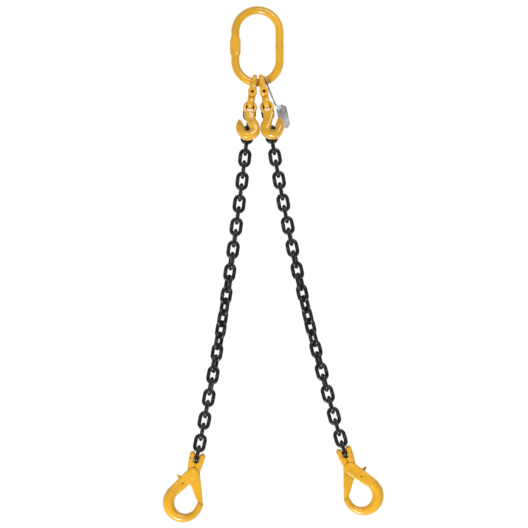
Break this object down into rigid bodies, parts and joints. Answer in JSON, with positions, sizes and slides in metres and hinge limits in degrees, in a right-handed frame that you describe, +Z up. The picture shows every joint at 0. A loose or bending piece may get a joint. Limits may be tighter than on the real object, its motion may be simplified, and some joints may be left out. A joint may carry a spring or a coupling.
{
  "type": "chain sling",
  "caption": "Chain sling with a yellow oblong master link, coupling links, shortening hooks, black round-link chain legs, self-locking hooks and a metal tag on a wire.",
  "frame": {"origin": "the point inside the master link's crown that a crane hook bears on, at the middle of the bar", "axes": "the sling lies flat: +X to its right seen from above, +Y from the legs towards the master link, +Z up from the surface it lies on"},
  "size_m": [0.4597, 1.0739, 0.0605],
  "materials": {
    "yellow_paint": "glossy",
    "black_chain": "satin",
    "pin_steel": "satin",
    "steel_wire": "satin",
    "tag_metal": "satin"
  },
  "bodies": {
    "master_link": {"master_link": "yellow_paint"},
    "left_coupling_upper": {"left_coupling_upper_half": "yellow_paint"},
    "left_coupling_lower": {"left_coupling_lower_half": "yellow_paint", "left_coupling_load_pin": "pin_steel", "left_coupling_sleeve": "pin_steel"},
    "left_shortening_hook": {"left_shortening_hook": "yellow_paint"},
    "left_chain_group_01": {"left_chain_01_to_02": "black_chain"},
    "left_chain_group_02": {"left_chain_03_to_04": "black_chain"},
    "left_chain_group_03": {"left_chain_05_to_06": "black_chain"},
    "left_chain_group_04": {"left_chain_07_to_08": "black_chain"},
    "left_chain_group_05": {"left_chain_09_to_10": "black_chain"},
    "left_chain_group_06": {"left_chain_11_to_12": "black_chain"},
    "left_chain_group_07": {"left_chain_13_to_14": "black_chain"},
    "left_chain_group_08": {"left_chain_15_to_16": "black_chain"},
    "left_chain_group_09": {"left_chain_17_to_18": "black_chain"},
    "left_chain_group_10": {"left_chain_19_to_20": "black_chain"},
    "left_chain_group_11": {"left_chain_21_to_22": "black_chain"},
    "left_chain_group_12": {"left_chain_23_to_24": "black_chain"},
    "left_chain_group_13": {"left_chain_25_to_26": "black_chain"},
    "left_chain_group_14": {"left_chain_27_to_28": "black_chain"},
    "left_chain_group_15": {"left_chain_29_to_31": "black_chain"},
    "left_clevis": {"left_clevis_latch": "yellow_paint", "left_clevis_pin": "pin_steel", "left_retaining_pin": "pin_steel"},
    "left_hook": {"left_hook_body": "yellow_paint", "left_pivot_pin": "pin_steel", "left_trigger_pin": "pin_steel", "left_trigger_spring": "pin_steel"},
    "left_trigger": {"left_trigger": "yellow_paint"},
    "right_coupling_upper": {"right_coupling_upper_half": "yellow_paint"},
    "right_coupling_lower": {"right_coupling_lower_half": "yellow_paint", "right_coupling_load_pin": "pin_steel", "right_coupling_sleeve": "pin_steel"},
    "right_shortening_hook": {"right_shortening_hook": "yellow_paint"},
    "right_chain_group_01": {"right_chain_01_to_02": "black_chain"},
    "right_chain_group_02": {"right_chain_03_to_04": "black_chain"},
    "right_chain_group_03": {"right_chain_05_to_06": "black_chain"},
    "right_chain_group_04": {"right_chain_07_to_08": "black_chain"},
    "right_chain_group_05": {"right_chain_09_to_10": "black_chain"},
    "right_chain_group_06": {"right_chain_11_to_12": "black_chain"},
    "right_chain_group_07": {"right_chain_13_to_14": "black_chain"},
    "right_chain_group_08": {"right_chain_15_to_16": "black_chain"},
    "right_chain_group_09": {"right_chain_17_to_18": "black_chain"},
    "right_chain_group_10": {"right_chain_19_to_20": "black_chain"},
    "right_chain_group_11": {"right_chain_21_to_22": "black_chain"},
    "right_chain_group_12": {"right_chain_23_to_24": "black_chain"},
    "right_chain_group_13": {"right_chain_25_to_26": "black_chain"},
    "right_chain_group_14": {"right_chain_27_to_28": "black_chain"},
    "right_chain_group_15": {"right_chain_29_to_31": "black_chain"},
    "right_clevis": {"right_clevis_latch": "yellow_paint", "right_clevis_pin": "pin_steel", "right_retaining_pin": "pin_steel"},
    "right_hook": {"right_hook_body": "yellow_paint", "right_pivot_pin": "pin_steel", "right_trigger_pin": "pin_steel", "right_trigger_spring": "pin_steel"},
    "right_trigger": {"right_trigger": "yellow_paint"},
    "tag_wire": {"tag_wire": "steel_wire", "tag_ferrule": "steel_wire"},
    "tag_plate": {"tag_plate": "tag_metal"}
  },
  "joints": [
    {"name": "left_coupling_swing", "type": "hinge", "parent": "master_link", "child": "left_coupling_upper", "pos_m": [-0.0072, -0.14245, 0.01175], "axis": [-0.9877, 0.1559, -0.0129], "range_deg": [-10, 25]},
    {"name": "left_coupling_turn", "type": "hinge", "parent": "left_coupling_upper", "child": "left_coupling_lower", "pos_m": [-0.01044, -0.16294, 0.01505], "axis": [0, 0, -1], "range_deg": [0, 30]},
    {"name": "left_shortening_hook_swing", "type": "hinge", "parent": "left_coupling_lower", "child": "left_shortening_hook", "pos_m": [-0.0155, -0.19682, 0.01505], "axis": [0, 0, -1], "range_deg": [0, 30]},
    {"name": "left_chain_bend_01", "type": "hinge", "parent": "left_coupling_lower", "child": "left_chain_group_01", "pos_m": [-0.0155, -0.19682, 0.01505], "axis": [0, 0, -1], "range_deg": [0, 30]},
    {"name": "left_chain_bend_02", "type": "hinge", "parent": "left_chain_group_01", "child": "left_chain_group_02", "pos_m": [-0.01942, -0.23563, 0.00597], "axis": [-0.9944, 0.1061, 0], "range_deg": [-45, 0]},
    {"name": "left_chain_bend_03", "type": "hinge", "parent": "left_chain_group_02", "child": "left_chain_group_03", "pos_m": [-0.02548, -0.29154, 0.00397], "axis": [-0.0023, -0.0207, 0.9998], "range_deg": [-30, 12]},
    {"name": "left_chain_bend_04", "type": "hinge", "parent": "left_chain_group_03", "child": "left_chain_group_04", "pos_m": [-0.03004, -0.33103, 0.0043], "axis": [0.9928, -0.1198, 0], "range_deg": [-15, 45]},
    {"name": "left_chain_bend_05", "type": "hinge", "parent": "left_chain_group_04", "child": "left_chain_group_05", "pos_m": [-0.03687, -0.38686, 0.0043], "axis": [0, 0, -1], "range_deg": [-20, 30]},
    {"name": "left_chain_bend_06", "type": "hinge", "parent": "left_chain_group_05", "child": "left_chain_group_06", "pos_m": [-0.04197, -0.42629, 0.0043], "axis": [-0.9901, 0.1333, 0.044], "range_deg": [-45, 45]},
    {"name": "left_chain_bend_07", "type": "hinge", "parent": "left_chain_group_06", "child": "left_chain_group_07", "pos_m": [-0.04957, -0.48202, 0.0043], "axis": [0.0944, -0.013, 0.9955], "range_deg": [-30, 30]},
    {"name": "left_chain_bend_08", "type": "hinge", "parent": "left_chain_group_07", "child": "left_chain_group_08", "pos_m": [-0.05521, -0.52137, 0.0043], "axis": [0.9327, -0.1386, -0.3328], "range_deg": [-45, 45]},
    {"name": "left_chain_bend_09", "type": "hinge", "parent": "left_chain_group_08", "child": "left_chain_group_09", "pos_m": [-0.06358, -0.57699, 0.0043], "axis": [-0.4234, 0.0644, -0.9037], "range_deg": [-40, 30]},
    {"name": "left_chain_bend_10", "type": "hinge", "parent": "left_chain_group_09", "child": "left_chain_group_10", "pos_m": [-0.06976, -0.61626, 0.0043], "axis": [-0.6979, 0.1135, 0.7071], "range_deg": [-30, 40]},
    {"name": "left_chain_bend_11", "type": "hinge", "parent": "left_chain_group_10", "child": "left_chain_group_11", "pos_m": [-0.07889, -0.67176, 0.0043], "axis": [-0.7744, 0.1287, -0.6194], "range_deg": [-45, 45]},
    {"name": "left_chain_bend_12", "type": "hinge", "parent": "left_chain_group_11", "child": "left_chain_group_12", "pos_m": [-0.08561, -0.71094, 0.0043], "axis": [0.3277, -0.058, -0.943], "range_deg": [-40, 30]},
    {"name": "left_chain_bend_13", "type": "hinge", "parent": "left_chain_group_12", "child": "left_chain_group_13", "pos_m": [-0.0955, -0.76632, 0.0043], "axis": [0.9546, -0.1722, 0.243], "range_deg": [-45, 45]},
    {"name": "left_chain_bend_14", "type": "hinge", "parent": "left_chain_group_13", "child": "left_chain_group_14", "pos_m": [-0.10275, -0.8054, 0.0043], "axis": [-0.0432, 0.0082, 0.999], "range_deg": [-30, 40]},
    {"name": "left_chain_bend_15", "type": "hinge", "parent": "left_chain_group_14", "child": "left_chain_group_15", "pos_m": [-0.1134, -0.86063, 0.0043], "axis": [-0.9815, 0.191, -0.0114], "range_deg": [-45, 45]},
    {"name": "left_clevis_swing", "type": "hinge", "parent": "left_chain_group_15", "child": "left_clevis", "pos_m": [-0.12593, -0.92263, 0.0043], "axis": [-0.9699, 0.2436, 0], "range_deg": [-60, 60]},
    {"name": "left_hook_opening", "type": "hinge", "parent": "left_clevis", "child": "left_hook", "pos_m": [-0.13422, -0.9556, 0.0043], "axis": [0, 0, -1], "range_deg": [0, 35]},
    {"name": "left_trigger_press", "type": "hinge", "parent": "left_hook", "child": "left_trigger", "pos_m": [-0.15473, -0.97489, 0.0043], "axis": [0, 0, -1], "range_deg": [0, 12], "stiffness_Nm_per_rad": 0.02, "springref_deg": -11.46},
    {"name": "right_coupling_swing", "type": "hinge", "parent": "master_link", "child": "right_coupling_upper", "pos_m": [0.00956, -0.14201, 0.01172], "axis": [-0.9781, -0.2072, 0.0171], "range_deg": [-10, 25]},
    {"name": "right_coupling_turn", "type": "hinge", "parent": "right_coupling_upper", "child": "right_coupling_lower", "pos_m": [0.01388, -0.16231, 0.01505], "axis": [0, 0, 1], "range_deg": [0, 30]},
    {"name": "right_shortening_hook_swing", "type": "hinge", "parent": "right_coupling_lower", "child": "right_shortening_hook", "pos_m": [0.02006, -0.196, 0.01505], "axis": [0, 0, 1], "range_deg": [0, 30]},
    {"name": "right_chain_bend_01", "type": "hinge", "parent": "right_coupling_lower", "child": "right_chain_group_01", "pos_m": [0.02006, -0.196, 0.01505], "axis": [0, 0, 1], "range_deg": [0, 10]},
    {"name": "right_chain_bend_02", "type": "hinge", "parent": "right_chain_group_01", "child": "right_chain_group_02", "pos_m": [0.02604, -0.23455, 0.00597], "axis": [-0.987, -0.1609, 0], "range_deg": [-45, 0]},
    {"name": "right_chain_bend_03", "type": "hinge", "parent": "right_chain_group_02", "child": "right_chain_group_03", "pos_m": [0.03522, -0.29003, 0.00397], "axis": [-0.0034, 0.0205, -0.9998], "range_deg": [-20, 12]},
    {"name": "right_chain_bend_04", "type": "hinge", "parent": "right_chain_group_03", "child": "right_chain_group_04", "pos_m": [0.04207, -0.32919, 0.0043], "axis": [0.9838, 0.1791, 0], "range_deg": [-15, 45]},
    {"name": "right_chain_bend_05", "type": "hinge", "parent": "right_chain_group_04", "child": "right_chain_group_05", "pos_m": [0.05227, -0.3845, 0.0043], "axis": [0, 0, 1], "range_deg": [-20, 30]},
    {"name": "right_chain_bend_06", "type": "hinge", "parent": "right_chain_group_05", "child": "right_chain_group_06", "pos_m": [0.05984, -0.42353, 0.0043], "axis": [-0.9794, -0.1971, -0.044], "range_deg": [-45, 45]},
    {"name": "right_chain_bend_07", "type": "hinge", "parent": "right_chain_group_06", "child": "right_chain_group_07", "pos_m": [0.07107, -0.47864, 0.0043], "axis": [0.0933, 0.0192, -0.9955], "range_deg": [-30, 30]},
    {"name": "right_chain_bend_08", "type": "hinge", "parent": "right_chain_group_07", "child": "right_chain_group_08", "pos_m": [0.07936, -0.51752, 0.0043], "axis": [0.9209, 0.2031, 0.3328], "range_deg": [-45, 45]},
    {"name": "right_chain_bend_09", "type": "hinge", "parent": "right_chain_group_08", "child": "right_chain_group_09", "pos_m": [0.0916, -0.57242, 0.0043], "axis": [-0.4178, -0.0942, 0.9037], "range_deg": [-40, 30]},
    {"name": "right_chain_bend_10", "type": "hinge", "parent": "right_chain_group_09", "child": "right_chain_group_10", "pos_m": [0.1006, -0.61114, 0.0043], "axis": [-0.6876, -0.165, -0.7071], "range_deg": [-30, 40]},
    {"name": "right_chain_bend_11", "type": "hinge", "parent": "right_chain_group_10", "child": "right_chain_group_11", "pos_m": [0.11386, -0.66581, 0.0043], "axis": [-0.7625, -0.1867, 0.6194], "range_deg": [-45, 45]},
    {"name": "right_chain_bend_12", "type": "hinge", "parent": "right_chain_group_11", "child": "right_chain_group_12", "pos_m": [0.12358, -0.70435, 0.0043], "axis": [0.3221, 0.0836, 0.943], "range_deg": [-40, 30]},
    {"name": "right_chain_bend_13", "type": "hinge", "parent": "right_chain_group_12", "child": "right_chain_group_13", "pos_m": [0.13784, -0.75876, 0.0043], "axis": [0.9378, 0.2481, -0.243], "range_deg": [-45, 45]},
    {"name": "right_chain_bend_14", "type": "hinge", "parent": "right_chain_group_13", "child": "right_chain_group_14", "pos_m": [0.14827, -0.79712, 0.0043], "axis": [-0.0423, -0.0118, -0.999], "range_deg": [-30, 40]},
    {"name": "right_chain_bend_15", "type": "hinge", "parent": "right_chain_group_14", "child": "right_chain_group_15", "pos_m": [0.16353, -0.85126, 0.0043], "axis": [-0.9618, -0.2735, 0.0114], "range_deg": [-45, 45]},
    {"name": "right_clevis_swing", "type": "hinge", "parent": "right_chain_group_15", "child": "right_clevis", "pos_m": [0.18142, -0.91193, 0.0043], "axis": [-0.9367, -0.3502, 0], "range_deg": [-60, 60]},
    {"name": "right_hook_opening", "type": "hinge", "parent": "right_clevis", "child": "right_hook", "pos_m": [0.19333, -0.94377, 0.0043], "axis": [0, 0, 1], "range_deg": [0, 35]},
    {"name": "right_trigger_press", "type": "hinge", "parent": "right_hook", "child": "right_trigger", "pos_m": [0.21587, -0.96065, 0.0043], "axis": [0, 0, 1], "range_deg": [0, 12], "stiffness_Nm_per_rad": 0.02, "springref_deg": -11.46},
    {"name": "tag_wire_turn", "type": "hinge", "parent": "master_link", "child": "tag_wire", "pos_m": [0.0137, -0.1301, 0.01151], "axis": [0, 0, 1], "range_deg": [0, 30]},
    {"name": "tag_plate_flap", "type": "hinge", "parent": "tag_wire", "child": "tag_plate", "pos_m": [0.04517, -0.19449, -0.0037], "axis": [-0.9785, -0.2062, 0], "range_deg": [-15, 25]}
  ],
  "couplings": [
    {"joint": "tag_wire_turn", "follows": "right_coupling_turn", "ratio": 1}
  ]
}
